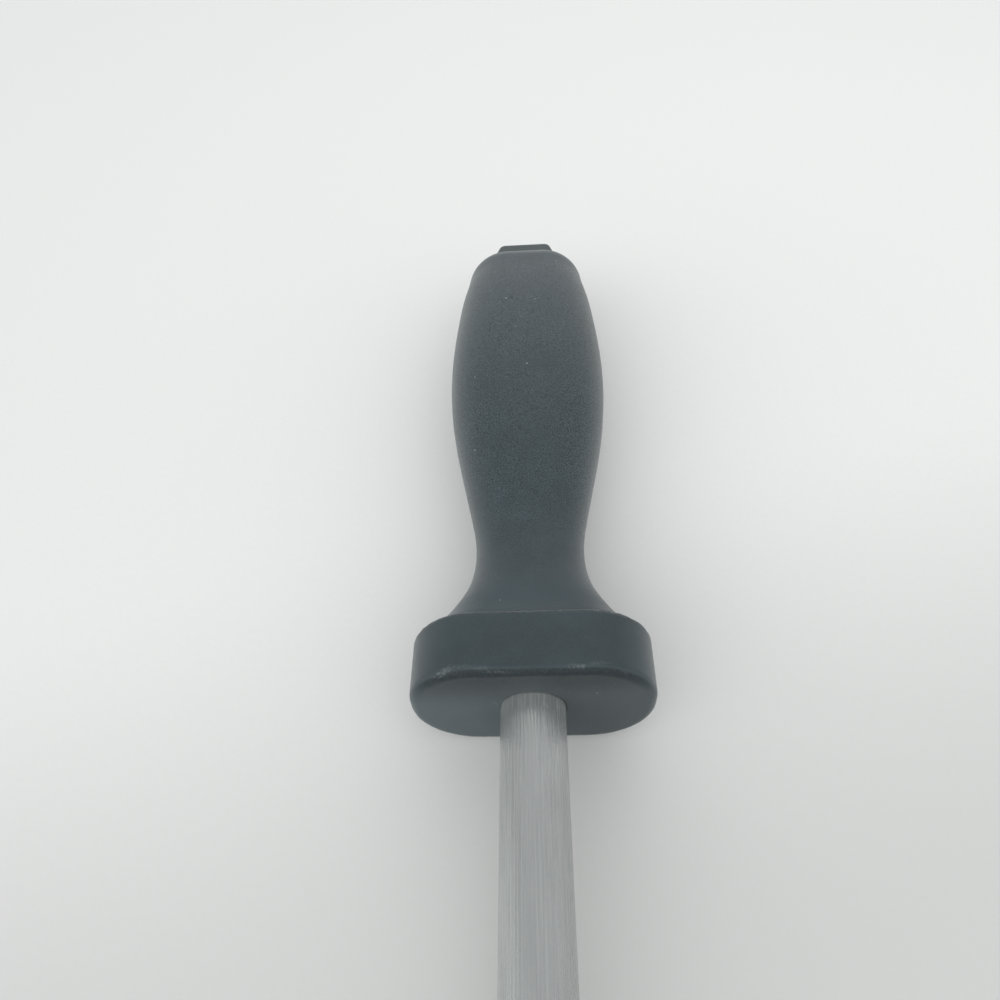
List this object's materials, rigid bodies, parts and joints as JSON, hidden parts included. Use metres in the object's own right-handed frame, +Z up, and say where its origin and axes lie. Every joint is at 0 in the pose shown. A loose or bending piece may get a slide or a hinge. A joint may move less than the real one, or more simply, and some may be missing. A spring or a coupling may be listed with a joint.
{
  "type": "honing steel",
  "caption": "Round ribbed steel rod in a moulded plastic handle with a wide oval guard, a narrow neck, a swelling grip and a flat hanging lug.",
  "frame": {"origin": "on the surface that the steel lies on, below the middle of its overall length", "axes": "+Y from the rod's tip towards the hanging lug, +Z up, +X across the guard. The rod's own axis dips 1.63 degrees towards the tip, because the steel lies on its guard and its tip"},
  "size_m": [0.0398, 0.3612, 0.0269],
  "materials": {
    "rod_steel": "satin chrome over fine lengthwise ribs",
    "handle_plastic": "black, fine-grained and matte, edges of the guard scuffed pale"
  },
  "bodies": {
    "root": {"steel_rod": "rod_steel", "handle": "handle_plastic"}
  },
  "joints": []
}
